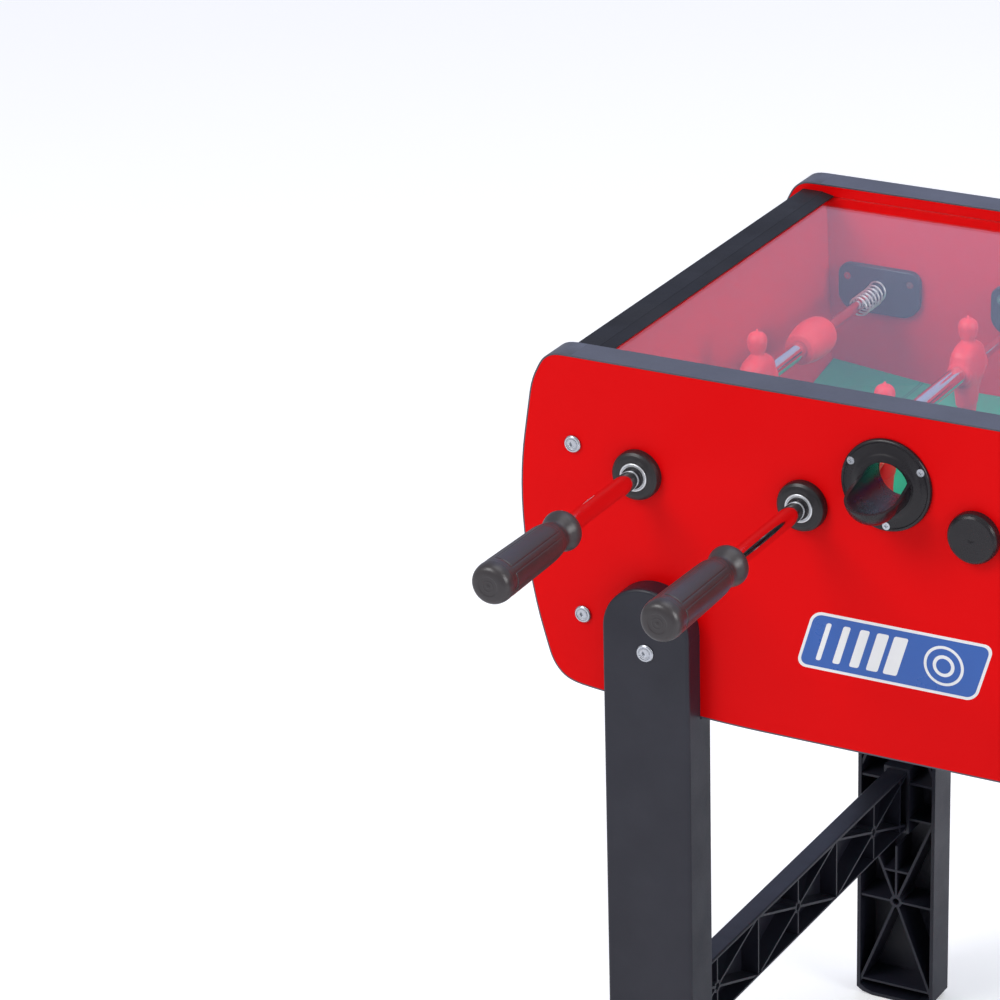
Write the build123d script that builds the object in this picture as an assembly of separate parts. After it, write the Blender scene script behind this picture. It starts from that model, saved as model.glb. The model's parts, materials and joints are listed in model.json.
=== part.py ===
from build123d import *
import math
import os

# Junior table football game: barrel-ended side panels, glass top, four telescopic rods,
# moulded legs and two cross braces.
# Frame: origin on the floor at the middle of the footprint, +X along the table, +Y away from
# the first player, +Z up. Millimetres. Front is -Y and left is -X.
# Heights in the dimensions and helpers are measured from the rod axis. The table has half-turn
# symmetry, so each rear or opposite piece is its partner turned about the vertical axis.

# ---------------------------------------------------------------- driving dimensions
ROD_H = 738.0            # rod axis above the floor
FLOOR = -ROD_H
ROD_PITCH = 150.0
ROD_X = [(i - 1.5) * ROD_PITCH for i in range(4)]
SLIDING_X = ROD_X[:2]    # rods worked from the front
FIXED_X = ROD_X[2:]      # rods anchored in the front panel, worked from the rear

INNER_W = 450.0          # clear width between the side panels
PANEL_T = 30.0
PANEL_TOP = 94.0
PANEL_BOT = -212.0
BAND_T = 1.5             # edge banding thickness
HALF_IN = INNER_W / 2
HALF_OUT = HALF_IN + PANEL_T
FRONT_OUT = -HALF_OUT    # outer face of the front panel
FRONT_IN = -HALF_IN      # inner face of the front panel

GLASS_T = 4.0
GLASS_TOP = 83.4
GLASS_HALF = 295.0       # half length
GROOVE_D = 4.0
GROOVE_HALF = 295.6
GROOVE_GAP = 0.1         # above and below the glass
GROOVE_BOT = GLASS_TOP - GLASS_T - GROOVE_GAP

TUBE_R, TUBE_IN_R = 8.0, 6.5
INNER_R = 5.0            # fixed inner rod of the telescopic rod
BUSH_R = 9.5
RUN = 0.06               # radial running clearance

PITCH_Z = -86.0          # playing surface
PITCH_T = 12.0

# fixings, as x and z
BOLT_R, LEG_BOLT_R, BOLT_GAP = 3.5, 4.0, 0.05
BOLTS = [(-285.4, 16.1), (-278.7, -136.9), (285.4, 16.1), (278.7, -136.9)]
LEG_X = 210.0
LEG_BOLT_Z = -151.0
CHUTE_X, CHUTE_Z = -1.5, 30.7
CHUTE_FLANGE_R, CHUTE_R, CHUTE_IN_R = 39.4, 22.9, 20.3
CHUTE_SCREWS = [(CHUTE_X - 30.4, CHUTE_Z + 16.6), (CHUTE_X + 30.4, CHUTE_Z + 16.6),
                (CHUTE_X + 1.0, CHUTE_Z - 34.6)]
PLATE_SCREW_X = 31.0     # from the rod axis
PLATE_SCREW_Z = 9.3
PILOT_R, SCREW_HOLE_R = 1.78, 1.9

TURN = Rot(0, 0, 180)
SIDES = (-1, 1)
os.makedirs("parts", exist_ok=True)


# ---------------------------------------------------------------- helpers
def floor_z(z):
    """Height above the floor of a height z from the rod axis."""
    return z + ROD_H


def solids(items):
    return [solid for item in items for solid in item.solids()]


def turned(shape):
    if isinstance(shape, list):
        return [TURN * item for item in shape]
    return TURN * shape


def write(name, shape):
    """Write one shape, or a list of shapes as one compound."""
    if isinstance(shape, list):
        shape = Compound(children=solids(shape))
    export_step(shape, "parts/" + name + ".step")


def write_pair(stem, shape, ends=("front", "rear")):
    """Write a piece and its half-turned partner as two files."""
    write(f"{stem}_{ends[0]}", shape)
    write(f"{stem}_{ends[1]}", turned(shape))


def fuse(shapes):
    """Join the shapes one at a time, in order."""
    joined = shapes[0]
    for shape in shapes[1:]:
        joined = joined + shape
    return joined


def box(x0, x1, y0, y1, z0, z1):
    centre = Pos((x0 + x1) / 2, (y0 + y1) / 2, floor_z((z0 + z1) / 2))
    return centre * Box(abs(x1 - x0), abs(y1 - y0), abs(z1 - z0))


def cyl_y(radius, y0, y1, x=0.0, z=0.0):
    """Cylinder along Y between y0 and y1."""
    return Pos(x, (y0 + y1) / 2, floor_z(z)) * Rot(90, 0, 0) * Cylinder(radius, abs(y1 - y0))


def polygon(points):
    return make_face(Polyline(*points, close=True))


def rev_y(points, x=0.0, z=0.0, y=0.0):
    """Body of revolution about a Y axis; points are (radius, y)."""
    return Pos(x, y, floor_z(z)) * revolve(polygon(points), Axis.Y)


def extrude_xz(face, y0, y1, x=0.0):
    """Extrude a face drawn in X and Z from y1 back to y0."""
    plane = Plane(origin=(x, y1, floor_z(0)), x_dir=(1, 0, 0), z_dir=(0, -1, 0))
    return extrude(plane * face, amount=abs(y1 - y0))


def prism(points, half_width):
    """Extrude an XZ polygon to both sides of the centre plane."""
    return extrude_xz(polygon(points), -half_width, half_width)


# ---------------------------------------------------------------- side panels and edge bands
# left edge of the panel from top to bottom, (x, z)
PANEL_EDGE = [
    (-286, PANEL_TOP), (-292, PANEL_TOP), (-298, 93.8), (-306.5, 91.8), (-313.2, 86.4),
    (-318.0, 78.5), (-321.5, 71), (-327.6, 42.7), (-332.2, 12.8), (-335.2, -20),
    (-335.4, -48), (-333.4, -78), (-327.6, -117), (-321.0, -147), (-313.8, -172),
    (-309.6, -184), (-303.5, -193.2), (-296, -199.2), (-286, -202.6), (-274, -204.3),
    (-225, -207.8), (-150, -211.4), (-118, PANEL_BOT), (-100, PANEL_BOT),
]
EDGE_STEPS = 64          # samples along the edge when it is offset
BAND_GAP = 0.02


def outline(inset):
    """Barrel-ended panel outline in X and Z, shrunk by inset."""
    points = PANEL_EDGE
    if inset:
        edge = Spline(*points)
        points = []
        for i in range(EDGE_STEPS + 1):
            point, tangent = edge @ (i / EDGE_STEPS), edge % (i / EDGE_STEPS)
            points.append((point.X - tangent.Y * inset, point.Y + tangent.X * inset))
    left = Spline(*points)
    right = Spline(*[(-x, z) for x, z in points])
    top = Line(points[0], (-points[0][0], points[0][1]))
    bottom = Line(points[-1], (-points[-1][0], points[-1][1]))
    return make_face(Curve() + [left, right, top, bottom])


def side_panel():
    panel = extrude_xz(outline(BAND_T + BAND_GAP), FRONT_OUT, FRONT_IN)

    def drill(radius, x, z=0.0):
        nonlocal panel
        panel -= cyl_y(radius, FRONT_OUT - 1, FRONT_IN + 1, x, z)

    for x, z in CHUTE_SCREWS:
        panel -= cyl_y(PILOT_R, FRONT_OUT - 1, FRONT_OUT + 16, x, z)
    for x in FIXED_X:
        for side in SIDES:
            panel -= cyl_y(PILOT_R, FRONT_IN - 12, FRONT_IN + 1,
                           x + side * PLATE_SCREW_X, PLATE_SCREW_Z)
    panel -= box(-GROOVE_HALF, GROOVE_HALF, FRONT_IN - GROOVE_D, FRONT_IN + 1,
                 GROOVE_BOT, GLASS_TOP + GROOVE_GAP)
    for x in SLIDING_X:
        drill(14.0, x)
    for x in FIXED_X:
        drill(4.2, x)
    drill(CHUTE_R + 0.05, CHUTE_X, CHUTE_Z)
    for x, z in BOLTS:
        drill(BOLT_R + BOLT_GAP, x, z)
    for side in SIDES:
        drill(LEG_BOLT_R + BOLT_GAP, side * LEG_X, LEG_BOLT_Z)
    return panel


def edge_band():
    outer, inner = (outline(inset).faces()[0].outer_wire() for inset in (0, BAND_T))
    return extrude_xz(Face(outer, [inner]), FRONT_OUT, FRONT_IN)


write_pair("side_panel", side_panel())
write_pair("edge_band", edge_band())

# ---------------------------------------------------------------- end boards, rails, glass
END_T = 22.0             # end board thickness
END_TILT = 2.5           # end boards lean in towards the bottom, degrees
END_TOP_IN = 280.5       # inner face of the end board at the glass top, from the centre
END_BOT = -200.0
RAIL_OUT, RAIL_RIDGE, RAIL_IN = 305.0, 283.0, 272.5
RAIL_TOP, RAIL_BOT = 87.0, 66.0
RAIL_LIP = 1.8           # thickness of the outer lip
GOAL_W, GOAL_TOP = 122.0, -36.0


def end_in_x(z):
    """Distance of the end board's inner face from the centre at height z."""
    return END_TOP_IN - (GLASS_TOP - z) * math.tan(math.radians(END_TILT))


def end_board():
    top_x, bottom_x = end_in_x(GROOVE_BOT), end_in_x(END_BOT)
    board = prism([(top_x, GROOVE_BOT), (top_x + END_T, GROOVE_BOT),
                   (bottom_x + END_T, END_BOT), (bottom_x, END_BOT)], HALF_IN - 0.05)
    board -= box(200, 340, -GOAL_W / 2, GOAL_W / 2, PITCH_Z, GOAL_TOP)
    for x, z in BOLTS[2:]:
        for side in SIDES:
            board -= cyl_y(BOLT_R + BOLT_GAP, side * (HALF_IN - 42), side * (HALF_IN + 1), x, z)
    return board


def end_rail():
    """Capping strip over the end board and the edge of the glass."""
    over_glass = GLASS_TOP + 0.15
    over_board = GROOVE_BOT + 0.05
    section = [
        (RAIL_IN, over_glass), (RAIL_IN, GLASS_TOP + 1.0),
        (RAIL_RIDGE, RAIL_TOP - 0.4), (RAIL_RIDGE + 0.8, RAIL_TOP),
        (RAIL_OUT - 1.5, RAIL_TOP), (RAIL_OUT, RAIL_TOP - 1.5),
        (RAIL_OUT, RAIL_BOT), (RAIL_OUT - RAIL_LIP, RAIL_BOT),
        (RAIL_OUT - RAIL_LIP, over_board), (GROOVE_HALF, over_board), (GROOVE_HALF, over_glass),
    ]
    return prism(section, HALF_IN - 0.2)


def glass_top():
    half_y = HALF_IN + GROOVE_D - 0.5
    glass = box(-GLASS_HALF, GLASS_HALF, -half_y, half_y, GLASS_TOP - GLASS_T, GLASS_TOP)
    return fillet(glass.edges().filter_by(Axis.Z), 2.5)


write_pair("end_board", end_board(), ("right", "left"))
write_pair("end_rail", end_rail(), ("right", "left"))
write("glass_top", glass_top())

# ---------------------------------------------------------------- playing field
PITCH_HALF_X = 272.4
PITCH_HALF_Y = HALF_IN - 0.3
PITCH_UNDER = PITCH_Z - PITCH_T
RAMP_X, RAMP_Y, RAMP_H = 100.0, 50.0, 10.0
CLEAT_HALF, CLEAT_W = 262.0, 20.0


def corner_ramp(side_x, side_y):
    """Raised corner: a flat triangle falling to the pitch along both walls."""
    x, y = side_x * (PITCH_HALF_X - 0.2), side_y * PITCH_HALF_Y
    corner = Vector(x, y, floor_z(PITCH_Z))
    along_x = Vector(x - side_x * RAMP_X, y, floor_z(PITCH_Z))
    along_y = Vector(x, y - side_y * RAMP_Y, floor_z(PITCH_Z))
    peak = Vector(x, y, floor_z(PITCH_Z + RAMP_H))
    triangles = [(corner, along_x, along_y), (corner, along_x, peak),
                 (along_x, along_y, peak), (corner, along_y, peak)]
    faces = [Face(Wire.make_polygon(list(points), close=True)) for points in triangles]
    ramp = Solid(Shell(faces))
    # a shell that comes out inside-out is built again from the last face
    return ramp if ramp.volume > 0 else Solid(Shell(faces[::-1]))


write("playfield_board", box(-PITCH_HALF_X, PITCH_HALF_X, -PITCH_HALF_Y, PITCH_HALF_Y,
                             PITCH_UNDER, PITCH_Z))
write("corner_ramps", [corner_ramp(side_x, side_y) for side_x in SIDES for side_y in SIDES])
write("field_cleats", [box(-CLEAT_HALF, CLEAT_HALF, side * HALF_IN, side * (HALF_IN - CLEAT_W),
                           PITCH_UNDER - CLEAT_W, PITCH_UNDER) for side in SIDES])

# ---------------------------------------------------------------- goal cups
CUP_TOP, CUP_BOT = -52.0, -121.0
CUP_HALF, CUP_IN_HALF, CUP_RIM_HALF = 66.0, 63.6, 68.0
CUP_IN_X = 331.0         # inside of the cup's outer wall
CUP_RIM_H = 3.0


def goal_cup():
    """Cup on the outside of the right end board, open on top, its outer wall leaning in."""
    back_x = end_in_x(CUP_TOP) + END_T - 8
    cup = prism([(back_x, CUP_TOP), (333.4, CUP_TOP), (333.4, -86), (318.0, CUP_BOT),
                 (back_x, CUP_BOT)], CUP_HALF)
    cup -= prism([(back_x - 1, -50), (CUP_IN_X, -50), (CUP_IN_X, -85.4), (316.4, -118.6),
                  (back_x - 1, -118.6)], CUP_IN_HALF)
    rim_bot = CUP_TOP - CUP_RIM_H
    rim = prism([(back_x, rim_bot), (335.0, rim_bot), (335.0, CUP_TOP), (back_x, CUP_TOP)],
                CUP_RIM_HALF)
    rim -= prism([(back_x - 1, -56), (CUP_IN_X, -56), (CUP_IN_X, -50), (back_x - 1, -50)],
                 CUP_IN_HALF)
    back = prism([(back_x, CUP_BOT), (back_x + 11, CUP_BOT), (back_x + 11, PITCH_Z - 1),
                  (back_x, PITCH_Z - 1)], CUP_HALF)
    cup = cup + rim + back
    # keep only what lies outside the leaning end board
    outside = [(end_in_x(60) + END_T + 0.1, 60), (400, 60), (400, -200),
               (end_in_x(-200) + END_T + 0.1, -200)]
    return cup & prism(outside, 200)


write_pair("goal_cup", goal_cup(), ("right", "left"))


# ---------------------------------------------------------------- ball chutes
SCOOP_L = 28.0           # straight part of the scoop in front of the panel
SCOOP_Z = 37.0           # height of the sloping cut 4 mm in front of the panel
SCOOP_SLOPE = 0.3        # fall of the cut per mm outwards
SCOOP_RUN = 60.0
SCREW_HEAD_R = 3.3


def ball_chute():
    """Flanged sleeve through the panel with a round-ended scoop in front."""
    face_y = FRONT_OUT - 0.05
    rim_r = CHUTE_FLANGE_R
    flange = rev_y([
        (CHUTE_IN_R, 0), (rim_r, 0), (rim_r, -1.8), (rim_r - 0.7, -3.0), (rim_r - 2.4, -3.6),
        (rim_r - 3.2, -2.9), (28.0, -3.2), (25.6, -4.4), (CHUTE_IN_R, -4.6),
    ], CHUTE_X, CHUTE_Z, face_y)
    sleeve = cyl_y(CHUTE_R, face_y - 0.5, FRONT_IN, CHUTE_X, CHUTE_Z)
    end_y = FRONT_OUT - SCOOP_L
    end = Pos(CHUTE_X, end_y, floor_z(CHUTE_Z))
    outer = cyl_y(CHUTE_R, end_y, FRONT_OUT, CHUTE_X, CHUTE_Z) + end * Sphere(CHUTE_R)
    inner = cyl_y(CHUTE_IN_R, end_y, FRONT_IN + 1, CHUTE_X, CHUTE_Z) + end * Sphere(CHUTE_IN_R)
    # everything above a plane falling outwards is cut off the scoop
    near_y = FRONT_OUT - 4
    far_y = near_y - SCOOP_RUN
    above = polygon([(near_y, SCOOP_Z), (far_y, SCOOP_Z - SCOOP_SLOPE * SCOOP_RUN),
                     (far_y, 90), (near_y, 90)])
    side_plane = Plane(origin=(-40, 0, floor_z(0)), x_dir=(0, 1, 0), z_dir=(1, 0, 0))
    scoop = outer - extrude(side_plane * above, amount=80)
    chute = flange + sleeve + scoop - inner
    chute -= cyl_y(CHUTE_IN_R, FRONT_OUT - 3.9, FRONT_IN + 1, CHUTE_X, CHUTE_Z)
    for x, z in CHUTE_SCREWS:
        sink = rev_y([(0, -5), (3.5, -5), (3.5, -2.9), (SCREW_HOLE_R, -1.6), (0, -1.6)],
                     x, z, FRONT_OUT)
        chute -= cyl_y(SCREW_HOLE_R, FRONT_OUT - 5, FRONT_OUT + 1, x, z) + sink
    return chute


def wood_screw(x, z, head_y, head_side):
    """Countersunk cross-recess screw along Y; head_side -1 faces the head to -Y."""
    screw = rev_y([(0, 0), (SCREW_HEAD_R, 0), (SCREW_HEAD_R, 0.45), (1.7, 2.0), (1.7, 15.0),
                   (0, 17.0)], x, z)
    arm, half_slot, depth = 1.7, 0.45, 0.9
    screw -= (box(x - arm, x + arm, -1, depth, z - half_slot, z + half_slot)
              + box(x - half_slot, x + half_slot, -1, depth, z - arm, z + arm))
    if head_side > 0:
        screw = mirror(screw, Plane.XZ)
    return Pos(0, head_y, 0) * screw


write_pair("ball_chute", ball_chute())
chute_screws = [wood_screw(x, z, FRONT_OUT - 3.55, -1) for x, z in CHUTE_SCREWS]
write("chute_screws", chute_screws + turned(chute_screws))

# ---------------------------------------------------------------- rod bearings
BORE_R = BUSH_R + RUN
NUT_IN_R = 13.95
# (radius, y from the panel's outer face)
HOUSING = [
    (BORE_R, -9.2), (12.4, -9.2), (16.0, -9.2), (18.6, -8.6), (20.6, -7.0), (21.5, -4.4),
    (21.5, -0.05), (13.9, -0.05), (13.9, PANEL_T + 5.9), (BORE_R, PANEL_T + 5.9),
]
HOUSING_RECESS = [(9.0, -10), (12.35, -10), (12.35, -5.0), (9.0, -5.0)]
BEARING_RING = [
    (BORE_R, -5.05), (12.3, -5.05), (12.3, -9.6), (11.9, -10.0), (11.1, -10.0), (10.8, -8.9),
    (10.4, -8.9), (10.1, -9.7), (BORE_R, -9.7),
]
# (radius, y from the panel's inner face)
LOCKNUT = [(NUT_IN_R, 0.05), (20.0, 0.05), (20.0, 4.6), (18.8, 5.8), (NUT_IN_R, 5.8)]


def bearing_housing(x):
    return rev_y(HOUSING, x, y=FRONT_OUT) - rev_y(HOUSING_RECESS, x, y=FRONT_OUT)


def locknut(x):
    """Ring nut on the inner face with six grip notches."""
    nut = rev_y(LOCKNUT, x, y=FRONT_IN)
    for k in range(6):
        angle = math.radians(60 * k + 30)
        nut -= cyl_y(2.2, FRONT_IN, FRONT_IN + 7,
                     x + 21.0 * math.cos(angle), 21.0 * math.sin(angle))
    return nut


write_pair("bearing_housings", [bearing_housing(x) for x in SLIDING_X])
write_pair("bearing_rings", [rev_y(BEARING_RING, x, y=FRONT_OUT) for x in SLIDING_X])
locknuts = [locknut(x) for x in SLIDING_X]
write("bearing_locknuts", locknuts + turned(locknuts))

# ---------------------------------------------------------------- fixed ends of the rods
# (radius, y from the panel's outer face)
ANCHOR_CAP = [
    (0, -3.8), (4.04, -3.8), (4.04, -0.05), (21.8, -0.05), (21.8, -4.6), (21.3, -6.4),
    (20.0, -8.0), (18.2, -9.0), (0, -9.2),
]
PLATE_T, PLATE_GAP = 6.5, 0.05
PLATE_HALF, PLATE_TOP, PLATE_BOT = 40.2, 21.2, -23.7
COIL_R, WIRE_R, SPRING_L, SPRING_TURNS = 8.7, 0.85, 45.0, 6.5


def plate_face():
    """Anchor plate outline: rounded corners, the lower two larger."""
    face = polygon([(-PLATE_HALF, PLATE_TOP), (PLATE_HALF, PLATE_TOP),
                    (PLATE_HALF, PLATE_BOT), (-PLATE_HALF, PLATE_BOT)])
    face = fillet([v for v in face.vertices() if v.Y > 0], 11.0)
    return fillet([v for v in face.vertices() if v.Y < PLATE_BOT + 1], 17.0)


def anchor_plate(x):
    """Screwed plate on the panel's inner face with a collar around the inner rod."""
    plate = extrude_xz(plate_face(), FRONT_IN + PLATE_GAP, FRONT_IN + PLATE_GAP + PLATE_T, x)
    # guards against the kernel refusing the chamfer round the rim; the rim then stays square
    try:
        plate = chamfer(plate.faces().sort_by(Axis.Y)[-1].edges(), 1.0)
    except Exception:
        pass
    collar_in = INNER_R - 0.5
    plate += rev_y([(collar_in, 0.05), (7.4, 0.05), (7.4, 9.0), (collar_in, 9.0)],
                   x, y=FRONT_IN)
    plate -= cyl_y(INNER_R + 0.02, FRONT_IN - 1, FRONT_IN + 10, x)
    for side in SIDES:
        screw_x = x + side * PLATE_SCREW_X
        plate -= cyl_y(SCREW_HOLE_R, FRONT_IN - 1, FRONT_IN + 8, screw_x, PLATE_SCREW_Z)
        plate -= rev_y([(0, 4.4), (SCREW_HOLE_R, 4.4), (3.6, 5.9), (3.6, 8), (0, 8)],
                       screw_x, PLATE_SCREW_Z, FRONT_IN)
    return plate


def inner_rod(x):
    """Fixed inner rod with a thinner end through the panel."""
    return (cyl_y(INNER_R, FRONT_IN + 0.05, FRONT_IN + 278, x)
            + cyl_y(4.0, FRONT_OUT - 3.6, FRONT_IN + 2, x))


def spring_coil():
    """Coil spring standing on z = 0."""
    height = SPRING_L - 2 * WIRE_R
    helix = Helix(pitch=height / SPRING_TURNS, height=height, radius=COIL_R)
    wire = Plane(origin=helix @ 0, z_dir=helix % 0) * Circle(WIRE_R)
    return Pos(0, 0, WIRE_R) * sweep(wire, path=helix, is_frenet=True)


write_pair("anchor_caps", [rev_y(ANCHOR_CAP, x, y=FRONT_OUT) for x in FIXED_X])
write_pair("anchor_plates", [anchor_plate(x) for x in FIXED_X])
write_pair("inner_rods", [inner_rod(x) for x in FIXED_X])
coil = spring_coil()
write_pair("springs", [Pos(x, FRONT_IN + 6.7, floor_z(0)) * Rot(-90, 0, 0) * coil
                       for x in FIXED_X])
plate_screws = [wood_screw(x + side * PLATE_SCREW_X, PLATE_SCREW_Z, FRONT_IN + PLATE_T, 1)
                for x in FIXED_X for side in SIDES]
write("plate_screws", plate_screws + turned(plate_screws))

# ---------------------------------------------------------------- rods, figures, bumpers, grips
# Rod frame: y from the outer face of the player's panel, the player on -Y, figures facing +X.
TUBE_NEAR, TUBE_FAR = -242.0, 353.0
# (radius, y)
GRIP_BODY = [
    (0, -253.4), (10.5, -253.4), (13.6, -252.6), (15.9, -250.4), (17.1, -247.2), (17.5, -243),
    (17.2, -238.5), (16.8, -238.0), (16.8, -237.2), (17.1, -236.6), (16.6, -200),
    (15.9, -166), (15.3, -157), (14.3, -150.6), (13.1, -147.0), (12.9, -145.0),
    (13.4, -142.6), (15.0, -139.2), (16.5, -136.0), (17.2, -133.0), (17.0, -130.6),
    (16.2, -128.6), (14.4, -127.3), (9.2, -126.8), (0, -126.8),
]
GRIP_STRIP = [(10, -234.5), (17.45, -234.5), (17.1, -200), (16.4, -166), (15.9, -158),
              (10, -158)]
ROD_BUSH = [(TUBE_R + RUN, -12.0), (9.2, -12.0), (BUSH_R, -11.6), (BUSH_R, 36.1),
            (10.9, 36.1), (10.9, 37.8), (TUBE_R + RUN, 37.8)]
# torso and legs of a figure: (half depth in x, half width in y, z)
FIGURE_STATIONS = [
    (5.6, 7.0, 23.0), (9.6, 15.5, 18.5), (12.0, 19.6, 12.0), (12.4, 20.6, 2.0),
    (12.2, 20.2, -9.0), (10.6, 16.5, -19.0), (9.2, 14.2, -32.0), (7.0, 11.8, -52.0),
    (6.4, 11.2, -60.0),
]
# neck, head and the nub on the crown: (radius, z)
FIGURE_HEAD = [
    (0, 12.0), (6.6, 12.0), (6.4, 20.0), (6.2, 25.0), (7.2, 27.4), (8.5, 30.4), (9.2, 34.4),
    (9.0, 38.4), (7.9, 42.2), (5.8, 45.0), (3.2, 46.4), (1.0, 46.8), (0.9, 47.7), (0, 47.7),
]
# rods at rest: grip and near tube end shift in y, figure y, bumpers (y0, y1, barrel towards -Y)
GOALKEEPER = {"shift": 0.0, "figures": [223.0],
              "bumpers": [(306.0, 354.0, False), (53.5, 101.5, True)]}
DEFENDER = {"shift": -4.5, "figures": [157.0, 330.0], "bumpers": [(98.8, 134.5, True)]}


def grip():
    """Turned handle with six raised strips around the body and a blind bore."""
    bars = fuse([Rot(0, 60 * k, 0) * Pos(0, -197, 12) * Box(9.0, 80, 16) for k in range(6)])
    handle = rev_y(GRIP_BODY) + (rev_y(GRIP_STRIP) & (Pos(0, 0, floor_z(0)) * bars))
    return handle - cyl_y(TUBE_R, -244, -100)


def figure(y):
    """One upright figure on the rod."""
    torso = loft([Plane(origin=(0, 0, z)) * Ellipse(half_x, half_y)
                  for half_x, half_y, z in FIGURE_STATIONS])
    head = revolve(Plane.XZ * polygon(FIGURE_HEAD), Axis.Z)
    foot = Pos(0.6, 0, -64.2) * Box(15.6, 25.0, 17.0)
    foot = fillet(foot.edges().filter_by(Axis.Z), 3.0)
    foot = chamfer([edge for edge in foot.edges() if edge.center().Z < -72], 1.2)
    boss = Rot(90, 0, 0) * Cylinder(11.0, 43.0)
    body = torso + head + foot + boss
    body -= Rot(90, 0, 0) * Cylinder(TUBE_R, 80)
    return Pos(0, y, floor_z(0)) * body


def bumper(y0, y1, flip):
    """Stop: narrow collar, cone, then a rounded barrel. flip puts the barrel on the -Y side."""
    length = y1 - y0
    profile = [
        (TUBE_R, 0), (12.4, 0), (13.5, 1.0), (13.7, 3.0), (14.5, 5.4), (16.6, length * 0.26),
        (18.3, length * 0.42), (19.0, length * 0.58), (19.0, length * 0.70),
        (18.2, length * 0.82), (16.6, length * 0.92), (14.2, length * 0.985),
        (12.4, length), (TUBE_R, length),
    ]
    if flip:
        profile = [(radius, length - y) for radius, y in profile]
    return rev_y([(radius, y0 + y) for radius, y in profile])


def rod_tube(shift):
    """Sliding tube, its bore narrowed over the last 14 mm to run on the inner rod."""
    tube = cyl_y(TUBE_R, TUBE_NEAR + shift, TUBE_FAR)
    tube -= cyl_y(TUBE_IN_R, TUBE_NEAR - 1, TUBE_FAR - 14)
    tube -= cyl_y(INNER_R + RUN, TUBE_NEAR - 1, TUBE_FAR + 1)
    return tube


def write_rod(number, x, from_rear, layout):
    """Write the five moving pieces of one rod."""
    def place(shape):
        placed = Pos(x, FRONT_OUT, 0) * shape
        return TURN * placed if from_rear else placed

    shift = layout["shift"]
    write(f"rod_bush_{number}", place(rev_y(ROD_BUSH)))
    write(f"rod_tube_{number}", place(rod_tube(shift)))
    write(f"grip_{number}", place(Pos(0, shift, 0) * grip()))
    write(f"figures_{number}", [place(figure(y)) for y in layout["figures"]])
    write(f"bumpers_{number}", [place(bumper(*stop)) for stop in layout["bumpers"]])


write_rod(1, ROD_X[0], False, GOALKEEPER)
write_rod(2, ROD_X[1], False, DEFENDER)
write_rod(3, ROD_X[1], True, DEFENDER)
write_rod(4, ROD_X[0], True, GOALKEEPER)

# ---------------------------------------------------------------- legs
LEG_W = 80.5
LEG_OUT = 21.0           # leg in front of the panel's outer face
LEG_IN = 18.0            # leg behind the panel's outer face, below the panel
LEG_ARCH_Z = -134.0      # centre of the rounded top
LEG_WALL = 3.5
LEG_CROSSINGS = (-630.0, -395.0)   # centres of the full rib crosses
LEG_UPPER_CROSSING = -300.0
RIB_T, THIN_RIB_T = 2.6, 2.2
BOLT_SEAT_D = 1.0

BRACE_W, BRACE_H, BRACE_Z = 20.0, 62.0, -519.0
BRACE_BOT, BRACE_TOP = BRACE_Z - BRACE_H / 2, BRACE_Z + BRACE_H / 2
BRACE_INSERT = 15.0      # length of brace inside a leg
SOCKET_GAP = 0.3


def leg_face(inset):
    """Leg outline in X and Z with a rounded top, shrunk by inset."""
    half = LEG_W / 2 - inset
    foot = FLOOR + inset
    sides = Polyline((-half, LEG_ARCH_Z), (-half, foot + 6), (-half + 6, foot + 2.2),
                     (-24, foot), (24, foot),
                     (half - 6, foot + 2.2), (half, foot + 6), (half, LEG_ARCH_Z))
    arch = ThreePointArc((half, LEG_ARCH_Z), (0, LEG_ARCH_Z + half), (-half, LEG_ARCH_Z))
    return make_face(Curve() + [sides, arch])


def leg_ribs(y0, y1):
    """Ribs, ring bosses and the brace socket block between y0 and y1."""
    half = LEG_W / 2 - LEG_WALL + 0.6

    def rib(x0, z0, x1, z1, thick=RIB_T, y_end=y1):
        length = math.hypot(x1 - x0, z1 - z0)
        angle = math.degrees(math.atan2(z1 - z0, x1 - x0))
        centre = Pos((x0 + x1) / 2, (y0 + y_end) / 2, floor_z((z0 + z1) / 2))
        return centre * Rot(0, -angle, 0) * Box(length, abs(y_end - y0), thick)

    def level(z, y_end=y1):
        return rib(-half, z, half, z, THIN_RIB_T, y_end)

    items = []
    for z in LEG_CROSSINGS:
        for side in SIDES:
            items.append(rib(0, z, side * half, z + 91))
            items.append(rib(0, z, side * half, z - 95))
        items.append(level(z))
        items.append(cyl_y(6.2, y0, y1, 0, z))
        items.append(rib(0, z, 0, z + 60, THIN_RIB_T))
        items.append(rib(-13, z + 33, 13, z + 33, THIN_RIB_T))
    for side in SIDES:
        items.append(rib(0, LEG_UPPER_CROSSING, side * half, -222))
    items.append(level(LEG_UPPER_CROSSING))
    items.append(cyl_y(6.2, y0, y1, 0, LEG_UPPER_CROSSING))
    items.append(level(-722.0))
    # upper part, closed by the panel
    for z in (-200.0, -176.0):
        items.append(level(z, -1.0))
    items.append(cyl_y(10.0, y0, -0.2, 0, LEG_BOLT_Z))
    # socket for the brace
    for side in SIDES:
        for z in (BRACE_BOT + 12, BRACE_TOP - 12):
            items.append(rib(side * 13, z, side * half, z, THIN_RIB_T))
    items.append(box(-13.2, 13.2, y0, LEG_IN, BRACE_BOT - 3.2, BRACE_TOP + 3.2))
    return fuse(items)


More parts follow.
